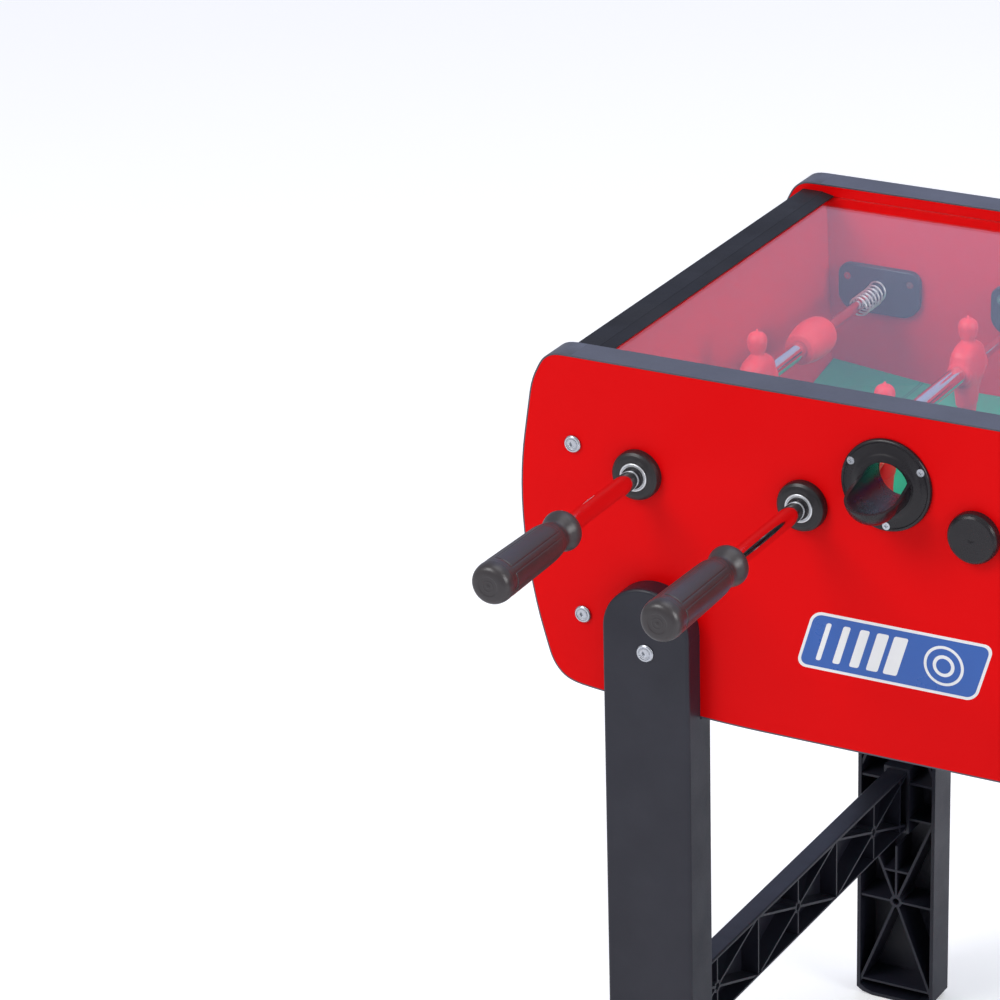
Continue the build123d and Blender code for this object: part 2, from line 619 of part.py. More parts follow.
def leg():
    """Front leg about x = 0, y from the panel's outer face: a channel open to the inside."""
    past = LEG_W / 2 + 1
    out_y = -LEG_OUT
    body = extrude_xz(leg_face(0), out_y, LEG_IN)
    body = fillet([e for e in body.edges() if abs(e.center().Y - out_y) < 0.01], 3.0)
    # above the panel's lower edge the leg stops at the panel
    body -= box(-past, past, 0.0, LEG_IN + 1, PANEL_BOT - 0.25, 0)
    hollow = extrude_xz(leg_face(LEG_WALL), out_y + LEG_WALL, LEG_IN + 1)
    ledge = box(-past, past, out_y, LEG_IN + 2, PANEL_BOT - 4.0, PANEL_BOT)
    body -= hollow - ledge
    inside = extrude_xz(leg_face(LEG_WALL - 0.4), out_y + 1, LEG_IN)
    body += leg_ribs(out_y + LEG_WALL - 0.2, LEG_IN - 1.2) & inside
    socket_half = BRACE_W / 2 + SOCKET_GAP
    body -= box(-socket_half, socket_half, LEG_IN - BRACE_INSERT - 0.2, LEG_IN + 2,
                BRACE_BOT - SOCKET_GAP, BRACE_TOP + SOCKET_GAP)
    for z in (*LEG_CROSSINGS, LEG_UPPER_CROSSING):
        body -= cyl_y(3.4, out_y + LEG_WALL + 0.5, LEG_IN + 1, 0, z)
    # bolt hole with a seat for the head
    body -= cyl_y(LEG_BOLT_R + BOLT_GAP, out_y - 1, 1, 0, LEG_BOLT_Z)
    body -= cyl_y(8.2, out_y - 1, out_y + BOLT_SEAT_D, 0, LEG_BOLT_Z)
    return body


front_leg = leg()
write_pair("leg", Pos(-LEG_X, FRONT_OUT, 0) * front_leg, ("front_left", "rear_right"))
write_pair("leg", Pos(LEG_X, FRONT_OUT, 0) * front_leg, ("front_right", "rear_left"))

# ---------------------------------------------------------------- cross braces
BRACE_WALL = 2.8
BRACE_BAY = 165.0        # spacing of the ring bosses


def brace_ribs():
    x0, x1 = -BRACE_W / 2 + BRACE_WALL - 0.2, BRACE_W / 2 - 0.6

    def rib(y0, z0, y1, z1):
        length = math.hypot(y1 - y0, z1 - z0)
        angle = math.degrees(math.atan2(z1 - z0, y1 - y0))
        centre = Pos((x0 + x1) / 2, (y0 + y1) / 2, floor_z((z0 + z1) / 2))
        return centre * Rot(angle, 0, 0) * Box(x1 - x0, length, THIN_RIB_T)

    def upright(y):
        return rib(y, BRACE_BOT + BRACE_WALL - 0.4, y, BRACE_TOP - BRACE_WALL + 0.4)

    items = []
    for k in range(-1, 2):
        y = BRACE_BAY * k
        items.append(upright(y))
        for side_y in SIDES:
            for side_z in SIDES:
                items.append(rib(y, BRACE_Z, y + side_y * 78,
                                 BRACE_Z + side_z * (BRACE_H / 2 - BRACE_WALL + 0.2)))
        items.append(Pos(0.8, y, floor_z(BRACE_Z)) * Rot(0, 90, 0)
                     * Cylinder(6.0, BRACE_W - BRACE_WALL - 0.6))
    items += [upright(y) for y in (-BRACE_BAY / 2, BRACE_BAY / 2, -225, 225)]
    return fuse(items)


def brace():
    """Channel along Y with its open, ribbed face towards +X."""
    half = HALF_OUT - LEG_IN + BRACE_INSERT
    x0, x1 = -BRACE_W / 2, BRACE_W / 2
    body = box(x0, x1, -half, half, BRACE_BOT, BRACE_TOP)
    body = fillet(body.edges().filter_by(Axis.Y), 1.5)
    body -= box(x0 + BRACE_WALL, x1 + 1, -half + BRACE_WALL, half - BRACE_WALL,
                BRACE_BOT + BRACE_WALL, BRACE_TOP - BRACE_WALL)
    body += brace_ribs() & box(x0 + 1, x1, -half + 1, half - 1, BRACE_BOT + 1, BRACE_TOP - 1)
    for k in range(-1, 2):
        body -= (Pos(x1, BRACE_BAY * k, floor_z(BRACE_Z)) * Rot(0, 90, 0)
                 * Cylinder(3.3, 2 * (BRACE_W - BRACE_WALL) - 2))
    return body


write_pair("brace", Pos(-LEG_X, 0, 0) * brace(), ("left", "right"))


# ---------------------------------------------------------------- bolts
def disc_bolt(x, z, seat_y, length, head_r, shank_r):
    """Low grooved disc head with a hexagon socket facing -Y, shank along +Y."""
    top = -2.6
    bolt = rev_y([
        (0, top + 0.25), (3.5, top + 0.25), (4.0, top), (4.5, top), (4.9, top + 0.7),
        (5.3, top + 0.7), (5.7, top), (head_r - 1.0, top), (head_r, top + 1.0), (head_r, 0),
        (shank_r, 0), (shank_r, length), (0, length),
    ])
    bolt -= extrude_xz(RegularPolygon(2.6, 6), top - 4.1, top + 1.9)
    return Pos(x, seat_y, z) * bolt


panel_bolts = [disc_bolt(x, z, FRONT_OUT - 0.05, 66.0, head_r=7.6, shank_r=BOLT_R)
               for x, z in BOLTS]
write("panel_bolts", panel_bolts + turned(panel_bolts))
leg_bolts = [disc_bolt(side * LEG_X, LEG_BOLT_Z, FRONT_OUT - LEG_OUT + BOLT_SEAT_D - 0.05, 44.0,
                       head_r=7.9, shank_r=LEG_BOLT_R) for side in SIDES]
write("leg_bolts", leg_bolts + turned(leg_bolts))
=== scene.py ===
"""Tabletop football game: detailed looks built over its CAD pieces.

Metres, +Z up. The four rods run along Y and stand in a row along X, numbered 1 to 4 from -X.
Rods 1 and 2 have their grips at the front (-Y) and red players, rods 3 and 4 have their grips
at the rear (+Y) and blue players.
"""
import bpy
import bmesh
import json
import math
from mathutils import Vector, Matrix


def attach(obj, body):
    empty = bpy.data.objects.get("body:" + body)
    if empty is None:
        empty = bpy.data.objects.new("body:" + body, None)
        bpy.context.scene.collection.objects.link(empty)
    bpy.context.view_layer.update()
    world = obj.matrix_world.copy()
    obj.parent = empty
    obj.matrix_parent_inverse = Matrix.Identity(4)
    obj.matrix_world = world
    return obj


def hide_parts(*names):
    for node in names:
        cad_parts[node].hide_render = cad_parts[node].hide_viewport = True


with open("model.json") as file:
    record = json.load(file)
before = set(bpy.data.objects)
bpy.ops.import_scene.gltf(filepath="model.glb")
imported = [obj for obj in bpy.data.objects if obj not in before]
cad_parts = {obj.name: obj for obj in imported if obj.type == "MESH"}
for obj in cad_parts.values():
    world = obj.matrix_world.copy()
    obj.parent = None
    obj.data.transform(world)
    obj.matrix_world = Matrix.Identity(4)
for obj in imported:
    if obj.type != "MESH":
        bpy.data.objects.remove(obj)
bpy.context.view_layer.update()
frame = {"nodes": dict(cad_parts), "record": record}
scene = bpy.context.scene
NODES = frame["nodes"]

PI = math.pi
MM = 0.001
ROD_Z = 0.738
ROD_PITCH = 0.150
ROD_X = {rod: (rod - 2.5) * ROD_PITCH for rod in (1, 2, 3, 4)}
ROD_ORIGIN_Y = 0.255  # distance of each rod's own origin from the table's centre plane


# ------------------------------------------------------------------ shader helpers
def rgba(color):
    return (*color, 1)


def shade(color, factor):
    return tuple(c * factor for c in color)


class Nodes:
    """A node tree, emptied and built up from code."""

    def __init__(self, tree):
        self.tree = tree
        tree.nodes.clear()

    def node(self, kind, inputs=None, **props):
        """Adds a node; each input is given a value or the socket that feeds it."""
        node = self.tree.nodes.new(kind)
        for key, value in props.items():
            setattr(node, key, value)
        for key, value in (inputs or {}).items():
            if isinstance(value, bpy.types.NodeSocket):
                self.link(value, node.inputs[key])
            else:
                node.inputs[key].default_value = value
        return node

    def link(self, source, target):
        self.tree.links.new(source, target)

    def math(self, op, a, b=0.0):
        return self.node("ShaderNodeMath", {0: a, 1: b}, operation=op).outputs[0]

    def ramp(self, x, low, high, start=0.0, end=1.0):
        """Maps low..high onto start..end, clamped."""
        return self.node("ShaderNodeMapRange", {
            "Value": x, "From Min": low, "From Max": high, "To Min": start, "To Max": end,
        }, clamp=True).outputs["Result"]

    def mix(self, factor, a, b):
        return self.node("ShaderNodeMix", {0: factor, 6: a, 7: b}, data_type="RGBA").outputs[2]


class Mat(Nodes):
    """A Principled material varied by noise in object coordinates (metres)."""

    def __init__(self, name, color, rough, metallic=0.0, spec=0.5, coat=0.0):
        self.material = bpy.data.materials.new(name)
        self.material.use_nodes = True
        self.material.diffuse_color = rgba(color)
        super().__init__(self.material.node_tree)
        self.out = self.node("ShaderNodeOutputMaterial")
        self.bsdf = self.node("ShaderNodeBsdfPrincipled", {
            "Metallic": metallic, "Specular IOR Level": spec,
            "Coat Weight": coat, "Coat Roughness": 0.12,
        })
        self.surface(self.bsdf)
        self.coords = self.node("ShaderNodeTexCoord").outputs["Object"]
        self.color = self.node("ShaderNodeRGB").outputs[0]
        self.color.default_value = rgba(color)
        self.rough = None
        if rough is not None:
            self.rough = self.node("ShaderNodeValue").outputs[0]
            self.rough.default_value = rough
        self.normal = None

    def surface(self, shader):
        self.link(shader.outputs[0], self.out.inputs["Surface"])

    def noise(self, scale, detail=3.0, stretch=None, distortion=0.0):
        vector = self.coords
        if stretch:
            vector = self.node("ShaderNodeMapping", {"Vector": vector, "Scale": stretch}).outputs[0]
        return self.node("ShaderNodeTexNoise", {
            "Vector": vector, "Scale": scale, "Detail": detail,
            "Roughness": 0.55, "Distortion": distortion,
        }).outputs["Fac"]

    def cells(self, scale):
        return self.node("ShaderNodeTexVoronoi",
                         {"Vector": self.coords, "Scale": scale}).outputs["Distance"]

    def tint(self, factor, color):
        self.color = self.mix(factor, self.color, rgba(color))

    def mottle(self, pattern, color, low, high, amount):
        """Tints by up to amount as the pattern goes from low to high."""
        self.tint(self.ramp(pattern, low, high, end=amount), color)

    def rough_by(self, pattern, low, high, start, end):
        """Adds start..end to the roughness as the pattern goes from low to high."""
        self.rough = self.math("ADD", self.rough, self.ramp(pattern, low, high, start, end))

    def bump(self, pattern, strength, depth):
        inputs = {"Strength": strength, "Distance": depth, "Height": pattern}
        if self.normal is not None:
            inputs["Normal"] = self.normal
        self.normal = self.node("ShaderNodeBump", inputs).outputs["Normal"]

    def done(self):
        self.link(self.color, self.bsdf.inputs["Base Color"])
        self.link(self.rough, self.bsdf.inputs["Roughness"])
        if self.normal is not None:
            self.link(self.normal, self.bsdf.inputs["Normal"])
        return self.material


# ------------------------------------------------------------------ materials
def plastic(name, color, rough, grain=2600, grain_depth=0.00006, lift=0.25, spec=0.5):
    """Moulded plastic: fine grain, slow tone changes, rubbed shinier spots, a little dust."""
    k = Mat(name, color, rough, spec=spec)
    light = tuple(min(1, c * (1 + lift) + 0.012) for c in color)
    k.mottle(k.noise(scale=14, detail=4), light, low=0.35, high=0.75, amount=0.5)
    k.mottle(k.noise(scale=420, detail=2), light, low=0.62, high=0.8, amount=0.25)
    k.rough_by(k.noise(scale=22, detail=4), low=0.3, high=0.75, start=-0.06, end=0.08)
    k.rough_by(k.noise(scale=800, detail=2), low=0.3, high=0.8, start=-0.03, end=0.04)
    k.bump(k.cells(grain), strength=0.35, depth=grain_depth)
    k.bump(k.noise(scale=55, detail=2), strength=0.18, depth=0.0004)
    return k.done()


def steel(name, color, rough, stretch=(1, 1, 1), scale=900, wear_and_reflection=1.0, metallic=1.0):
    """Metal with fine brushing, drawn out along an axis by stretch, and duller patches; on the
    chromed tube the darker streaks along its length are also painted reflection.
    """
    k = Mat(name, color, rough, metallic=metallic)
    brushing_and_reflection = k.noise(scale=scale, detail=4, stretch=stretch)
    # darker streaks from the stretched noise: real brushing, and on the chromed tube also painted
    # reflection of dark things nearby
    k.mottle(brushing_and_reflection, shade(color, 0.72), low=0.3, high=0.8, amount=0.35 * wear_and_reflection)
    k.mottle(k.noise(scale=45, detail=5), shade(color, 0.6), low=0.55, high=0.8, amount=0.3 * wear_and_reflection)
    k.rough_by(brushing_and_reflection, low=0.3, high=0.8, start=-0.05 * wear_and_reflection, end=0.08 * wear_and_reflection)
    k.rough_by(k.noise(scale=60, detail=4), low=0.5, high=0.8, start=0, end=0.12 * wear_and_reflection)
    k.bump(brushing_and_reflection, strength=0.12 * wear_and_reflection, depth=0.00008)
    return k.done()


def laminate(name):
    k = Mat(name, (0.77, 0.0008, 0.0020), rough=0.42, spec=0.08)
    k.mottle(k.noise(scale=2.2), (0.79, 0.0022, 0.0034), low=0.35, high=0.7, amount=0.35)
    k.mottle(k.noise(scale=520, detail=2), (0.70, 0.0012, 0.002), low=0.6, high=0.85, amount=0.3)
    k.rough_by(k.noise(scale=5, detail=5), low=0.3, high=0.75, start=-0.05, end=0.08)
    streaks = k.noise(scale=160, stretch=(1, 1, 0.25))
    k.rough_by(streaks, low=0.4, high=0.8, start=-0.02, end=0.05)
    k.bump(k.noise(scale=1500, detail=2), strength=0.10, depth=0.00008)
    k.bump(k.noise(scale=28, detail=2), strength=0.06, depth=0.0004)
    return k.done()


def pitch(name):
    """Mottled green board with dark double lines, a halfway line, a centre circle and a spot."""
    k = Mat(name, (0.0, 0.40, 0.235), rough=0.38, spec=0.45)
    k.mottle(k.noise(scale=9, detail=4), (0.0, 0.46, 0.29), low=0.35, high=0.75, amount=0.5)
    k.mottle(k.noise(scale=900), (0.0, 0.33, 0.19), low=0.45, high=0.75, amount=0.35)
    x, y, z = k.node("ShaderNodeSeparateXYZ", {0: k.coords}).outputs
    end_x = k.math("ABSOLUTE", x)
    radius = k.math("SQRT", k.math("ADD", k.math("MULTIPLY", x, x), k.math("MULTIPLY", y, y)))

    def band(value, at, half):
        return k.math("LESS_THAN", k.math("ABSOLUTE", k.math("SUBTRACT", value, at)), half)

    lines = band(end_x, at=0.1822, half=0.00045)
    spot_radius = 0.0035
    for mark in (
        band(end_x, at=0.1846, half=0.00045),
        band(x, at=0.0, half=0.0007),
        band(radius, at=0.062, half=0.0007),
        k.math("LESS_THAN", radius, spot_radius),
    ):
        lines = k.math("MAXIMUM", lines, mark)
    line_cover = 0.85
    k.tint(k.math("MULTIPLY", lines, line_cover), color=(0.005, 0.06, 0.05))
    k.rough_by(k.noise(scale=12, detail=4), low=0.3, high=0.8, start=-0.05, end=0.1)
    k.bump(k.noise(scale=1700, detail=2), strength=0.12, depth=0.0001)
    return k.done()


def timber(name):
    k = Mat(name, (0.50, 0.36, 0.21), rough=0.7)
    grain = k.noise(scale=60, detail=6, stretch=(0.06, 1, 1), distortion=0.6)
    k.mottle(grain, (0.34, 0.22, 0.12), low=0.35, high=0.7, amount=0.7)
    k.bump(grain, strength=0.3, depth=0.0004)
    return k.done()


def glass(name):
    """Clear glass that lets shadow rays straight through with a slight tint."""
    k = Mat(name, (0.955, 0.985, 0.975), rough=None)
    k.rough = k.ramp(k.noise(scale=7, detail=5), low=0.45, high=0.85, start=0.0, end=0.02)
    k.bsdf.inputs["Transmission Weight"].default_value = 1.0
    k.bsdf.inputs["IOR"].default_value = 1.5
    k.mottle(k.noise(scale=3), (0.93, 0.98, 0.965), low=0.4, high=0.8, amount=0.5)
    shadow_ray = k.node("ShaderNodeLightPath").outputs["Is Shadow Ray"]
    clear = k.node("ShaderNodeBsdfTransparent", {"Color": rgba((0.93, 0.97, 0.96))})
    k.surface(k.node("ShaderNodeMixShader", {
        0: shadow_ray, 1: k.bsdf.outputs["BSDF"], 2: clear.outputs["BSDF"],
    }))
    return k.done()


def team_plastic(name, color, light):
    k = Mat(name, color, rough=0.42, spec=0.45)
    k.mottle(k.noise(scale=40, detail=4), light, low=0.35, high=0.75, amount=0.6)
    k.rough_by(k.noise(scale=90, detail=4), low=0.3, high=0.8, start=-0.07, end=0.1)
    k.bump(k.noise(scale=1400, detail=2), strength=0.15, depth=0.00008)
    k.bump(k.noise(scale=130), strength=0.12, depth=0.0003)
    return k.done()


def vinyl(name, color):
    k = Mat(name, color, rough=0.3, coat=0.3)
    k.mottle(k.noise(scale=60, detail=4), shade(color, 0.88), low=0.4, high=0.8, amount=0.3)
    k.rough_by(k.noise(scale=30, detail=4), low=0.3, high=0.8, start=-0.05, end=0.08)
    k.bump(k.noise(scale=700, detail=2), strength=0.08, depth=0.00005)
    return k.done()


ALONG_Y = (1, 0.03, 1)
# slot name: (maker, settings)
FINISHES = {
    "red_laminate": (laminate, {}),
    "black_edging": (plastic, dict(color=(0.055, 0.059, 0.080), rough=0.36, grain=1500,
                                   spec=0.65)),
    "black_moulding": (plastic, dict(color=(0.0085, 0.0068, 0.0095), rough=0.27, spec=0.42)),
    "grip_black": (plastic, dict(color=(0.026, 0.021, 0.023), rough=0.36, grain=2000,
                                 lift=0.4, spec=0.6)),
    "glass": (lambda slot: glass("glass_clear"), {}),
    "pitch_green": (pitch, {}),
    "raw_board": (timber, {}),
    # the chromed tube's darker streaks along its length are painted reflection as well as brushing
    "chromed_tube": (steel, dict(color=(0.84, 0.84, 0.86), rough=0.075, stretch=ALONG_Y,
                                 wear_and_reflection=0.35)),
    "steel_rod": (steel, dict(color=(0.74, 0.74, 0.77), rough=0.16, stretch=ALONG_Y, wear_and_reflection=0.5)),
    "spring_wire": (steel, dict(color=(0.80, 0.80, 0.82), rough=0.30, scale=1400, wear_and_reflection=0.6,
                                metallic=0.75)),
    "bolt_zinc": (steel, dict(color=(0.56, 0.58, 0.62), rough=0.22, scale=1500, wear_and_reflection=0.35)),
    "ring_grey": (steel, dict(color=(0.80, 0.81, 0.83), rough=0.32, scale=1200, wear_and_reflection=0.7,
                              metallic=0.85)),
    "plate_grey": (plastic, dict(color=(0.018, 0.020, 0.028), rough=0.40)),
    "rubber_black": (plastic, dict(color=(0.010, 0.008, 0.010), rough=0.36, grain=1800)),
    "figure_red": (team_plastic, dict(color=(0.95, 0.018, 0.030), light=(0.96, 0.05, 0.06))),
    "figure_blue": (team_plastic, dict(color=(0.02, 0.08, 0.52), light=(0.04, 0.13, 0.62))),
    "bumper_red": (team_plastic, dict(color=(0.96, 0.025, 0.035), light=(0.97, 0.06, 0.07))),
    "bumper_blue": (team_plastic, dict(color=(0.02, 0.09, 0.50), light=(0.05, 0.14, 0.60))),
}
MATS = {slot: make(slot, **settings) for slot, (make, settings) in FINISHES.items()}
LEG = plastic("leg_plastic", (0.0095, 0.0100, 0.0190), rough=0.42, grain=2200, lift=0.5, spec=0.45)
RAIL = plastic("rail_plastic", (0.009, 0.009, 0.011), rough=0.50, grain=900, grain_depth=0.00016,
               spec=0.20)

slot_of = {part["node"]: part["material_slot"] for part in frame["record"]["subparts"]}
for node, obj in NODES.items():
    mat = MATS[slot_of[node]]
    if node.startswith(("leg_front", "leg_rear", "brace")):
        mat = LEG
    if node.startswith("end_rail"):
        mat = RAIL
    if not obj.material_slots:
        obj.data.materials.append(mat)
    for slot in obj.material_slots:
        slot.material = mat

# small roundings on the CAD pieces; start of the node name: width
BEVELS = {
    "leg_front": 0.0009, "leg_rear": 0.0009, "brace": 0.0006, "end_rail": 0.0005,
    "edge_band": 0.0004, "ball_chute": 0.0003, "anchor_plates": 0.0004, "leg_bolts": 0.0003,
    "panel_bolts": 0.0003, "bearing_rings": 0.00015, "goal_cup": 0.0006, "end_board": 0.0004,
}
for node, obj in NODES.items():
    for prefix, width in BEVELS.items():
        if node.startswith(prefix):
            weld = obj.modifiers.new("weld", "WELD")
            weld.merge_threshold = 0.00001
            bevel = obj.modifiers.new("round", "BEVEL")
            bevel.width = width
            bevel.segments = 2
            bevel.limit_method = "ANGLE"
            bevel.angle_limit = math.radians(40)
            bevel.use_clamp_overlap = True
            bevel.harden_normals = False


# ------------------------------------------------------------------ mesh helpers
def link_obj(name, mesh):
    obj = bpy.data.objects.new(name, mesh)
    scene.collection.objects.link(obj)
    return obj


def new_obj(name, verts, faces, mat, smooth=True):
    mesh = bpy.data.meshes.new(name)
    mesh.from_pydata([tuple(v) for v in verts], [], faces)
    mesh.validate()
    mesh.update()
    if smooth:
        for face in mesh.polygons:
            face.use_smooth = True
    mesh.materials.append(mat)
    return link_obj(name, mesh)


def face_outward(obj, merge=False):
    bm = bmesh.new()
    bm.from_mesh(obj.data)
    if merge:
        bmesh.ops.remove_doubles(bm, verts=bm.verts, dist=1e-7)
    bmesh.ops.recalc_face_normals(bm, faces=bm.faces)
    bm.to_mesh(obj.data)
    bm.free()


def take_mesh(obj):
    """Keeps an object's mesh and removes the object."""
    mesh = obj.data
    bpy.data.objects.remove(obj)
    return mesh


def lathe(name, profile, seg, mat, relief=None):
    """Turns (radius, y) points about the Y axis; a point on the axis closes with a fan.

    relief(radius, y, angle) gives a length to add to the radius.
    """
    verts, rings, faces = [], [], []
    for r, y in profile:
        if r < 1e-7:
            rings.append([len(verts)])
            verts.append((0, y, 0))
            continue
        ring = []
        for i in range(seg):
            angle = 2 * PI * i / seg
            radius = r + (relief(r, y, angle) if relief else 0.0)
            ring.append(len(verts))
            verts.append((radius * math.cos(angle), y, radius * math.sin(angle)))
        rings.append(ring)
    if profile[0] == profile[-1]:
        rings = rings[:-1] + [rings[0]]
    for a, b in zip(rings, rings[1:]):
        for i in range(seg):
            j = (i + 1) % seg
            if len(a) == 1:
                faces.append((a[0], b[j], b[i]))
            elif len(b) == 1:
                faces.append((a[i], a[j], b[0]))
            else:
                faces.append((a[i], a[j], b[j], b[i]))
    obj = new_obj(name, verts, faces, mat)
    face_outward(obj, merge=True)
    return obj


def smooth_profile(points, step):
    """Resamples a profile through its points with a Catmull-Rom curve."""
    out = []
    n = len(points)
    for i in range(n - 1):
        before, start = points[max(0, i - 1)], points[i]
        end, after = points[i + 1], points[min(n - 1, i + 2)]
        length = math.hypot(end[0] - start[0], end[1] - start[1])
        count = max(1, int(length / step))
        for s in range(count):
            t = s / count
            r, y = (
                0.5 * (2 * p1 + (p2 - p0) * t + (2 * p0 - 5 * p1 + 4 * p2 - p3) * t * t
                       + (-p0 + 3 * p1 - 3 * p2 + p3) * t ** 3)
                for p0, p1, p2, p3 in zip(before, start, end, after)
            )
            out.append((max(0.0, r), y))
    out.append(points[-1])
    return out


def in_metres(rows):
    return [tuple(v * MM for v in row) for row in rows]


def clamp01(x):
    return max(0.0, min(1.0, x))


def evaluated(obj):
    """The object's mesh with its modifiers applied."""
    depsgraph = bpy.context.evaluated_depsgraph_get()
    return bpy.data.meshes.new_from_object(obj.evaluated_get(depsgraph))


def side_matrix(x, distance, rear):
    """A frame at rod height whose +Y points into the table from the front or rear side."""
    if rear:
        return Matrix.Translation((x, distance, ROD_Z)) @ Matrix.Rotation(PI, 4, "Z")
    return Matrix.Translation((x, -distance, ROD_Z))


def place_rod_piece(name, mesh, rod, slot, node, y=0.0):
    """Copies a mesh given in the rod's own frame (grip towards -Y) onto a rod."""
    obj = link_obj(name, mesh.copy())
    obj.data.materials.clear()
    obj.data.materials.append(MATS[slot])
    obj.matrix_world = side_matrix(ROD_X[rod], ROD_ORIGIN_Y - y, rear=rod > 2)
    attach(obj, f"rod_{rod}")
    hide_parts(f"{node}_{rod}")
    return obj


def team(rod):
    return "red" if rod < 3 else "blue"


# ------------------------------------------------------------------ grips
# (radius, y) in mm, from the axis over the marked outer end
GRIP_END = [
    (0, -253.5), (0.8, -254.1), (1.5, -253.5), (4.0, -253.4), (4.4, -253.65), (4.8, -253.4),
    (8.0, -253.35), (8.4, -253.65), (10.8, -253.45), (13.3, -252.7), (15.3, -251.1),
    (16.6, -248.7), (17.25, -245.7), (17.5, -242.4),
]
# (radius, y) in mm, on along the handle, its waist and the collar nearest the table
GRIP_BODY = [
    (17.5, -242.4), (17.25, -236.5), (16.65, -200), (15.95, -166), (15.3, -157), (14.3, -150.8),
    (13.05, -147.2), (12.75, -145.0), (13.25, -142.7), (15.0, -139.2), (16.45, -136.0),
    (17.15, -133.0), (17.0, -130.6), (16.2, -128.6), (14.6, -127.4), (12.0, -126.9), (8.5, -126.8),
]
# (radius, y) in mm, the bore and its blind end
GRIP_BORE = [(8.05, -126.4), (8.05, -242.3), (0, -242.3)]
PANEL_STEP = 2 * PI / 5
PANEL_HALF = math.radians(27)
PANEL_OUTER_Y = -235.8  # mm
PANEL_INNER_Y = -156.5  # mm
PANEL_FADE = 0.6        # mm over which the panel rises at its ends
PANEL_RISE = 0.00012
GROOVE_WIDTH = 0.42     # mm
GROOVE_DEPTH = 0.00045


def groove(distance):
    return math.exp(-(distance / GROOVE_WIDTH) ** 2)


def grip_relief(r, y, angle):
    """Five long raised panels, each bounded by thin grooves."""
    y_mm = y / MM
    if not (r > 0.0095 and -241.0 < y_mm < -150):
        return 0.0
    off = abs(angle - round(angle / PANEL_STEP) * PANEL_STEP)
    edge = abs(off - PANEL_HALF) * r / MM
    inside = clamp01((PANEL_HALF - off) * r / MM / 0.5)
    side = groove(edge) if PANEL_OUTER_Y < y_mm < PANEL_INNER_Y else 0.0
    inner = groove(abs(y_mm - PANEL_INNER_Y)) * inside
    outer = groove(y_mm - PANEL_OUTER_Y) * inside
    panel = (inside * clamp01((y_mm - PANEL_OUTER_Y) / PANEL_FADE)
             * clamp01((PANEL_INNER_Y - y_mm) / PANEL_FADE))
    return PANEL_RISE * panel - GROOVE_DEPTH * max(side, inner, outer)


grip_profile = (smooth_profile(in_metres(GRIP_END), step=0.0006)
                + smooth_profile(in_metres(GRIP_BODY), step=0.0007)[1:]
                + in_metres(GRIP_BORE))
grip = take_mesh(lathe("grip_master", grip_profile, 200, MATS["grip_black"], grip_relief))
# y of each grip along its rod
GRIP_Y = {1: 0.0, 2: -0.0045, 3: -0.0045, 4: 0.0}
for rod, y in GRIP_Y.items():
    place_rod_piece(f"grip_body_{rod}", grip, rod, "grip_black", "grip", y)


# ------------------------------------------------------------------ player figures
# TORSO and LEGS: z, centre x, half width x, half width y (mm), squareness (2 is an ellipse)
TORSO = [
    (25.5, 0, 5.4, 6.4, 2), (23.4, 0, 6.6, 9.6, 2.1), (21.4, 0, 8.4, 14.2, 2.3),
    (19.0, 0, 9.9, 17.6, 2.6), (15.6, 0, 11.0, 19.8, 3.0), (11.0, 0, 11.6, 20.8, 3.3),
    (5.5, 0, 12.1, 21.5, 3.4), (0, 0, 12.3, 21.7, 3.5), (-5, 0, 12.1, 21.2, 3.4),
    (-9.5, 0, 11.2, 19.2, 3.1), (-13.5, 0, 10.0, 16.6, 2.8), (-20, 0, 9.1, 14.9, 2.6),
    (-27, 0, 8.5, 13.9, 2.5), (-33, 0, 8.1, 13.3, 2.4),
]
LEGS = [
    (-30, 0.2, 7.4, 12.6, 2.5), (-38, 0.2, 6.7, 11.6, 2.5), (-46, 0.2, 6.1, 10.9, 2.6),
    (-52, 0.3, 5.9, 11.0, 2.8), (-56, 0.5, 6.5, 11.9, 3.4), (-59, 0.6, 7.4, 12.4, 4.5),
    (-69, 0.6, 7.7, 12.4, 5), (-72.3, 0.6, 7.1, 11.8, 5),
]
# (radius, z) in mm: neck, face, fuller cap and the button on top
HEAD = [
    (6.3, 19.0), (5.9, 23.5), (5.9, 26.4), (7.0, 28.4), (7.85, 30.6), (8.3, 33.2), (8.4, 35.4),
    (8.75, 36.6), (8.65, 39.0), (7.75, 41.7), (6.0, 43.9), (3.8, 45.1), (1.7, 45.6), (1.4, 46.2),
    (1.4, 47.3), (1.0, 48.1),
]
HEAD_DEPTH = 1.02  # x radius over y radius
# (radius, y) in mm of the boss around the rod
BOSS = [(9.6, -21.4), (10.4, -21.0), (10.9, -19), (10.9, 19), (10.4, 21.0), (9.6, 21.4)]
FIGURE_BORE = 0.00805


def superloft(rings, seg=48):
    """Skins superellipse rings given as (z, centre x, half x, half y, squareness)."""
    verts, faces = [], []
    for z, center, half_x, half_y, squareness in rings:
        power = 2.0 / squareness
        for i in range(seg):
            t = 2 * PI * i / seg
            c, s = math.cos(t), math.sin(t)
            verts.append((center + half_x * math.copysign(abs(c) ** power, c),
                          half_y * math.copysign(abs(s) ** power, s), z))
    last = len(rings) - 1
    for k in range(last):
        for i in range(seg):
            j = (i + 1) % seg
            faces.append((k * seg + i, k * seg + j, (k + 1) * seg + j, (k + 1) * seg + i))
    faces.append(tuple(reversed(range(seg))))
    faces.append(tuple(range(last * seg, (last + 1) * seg)))
    return verts, faces


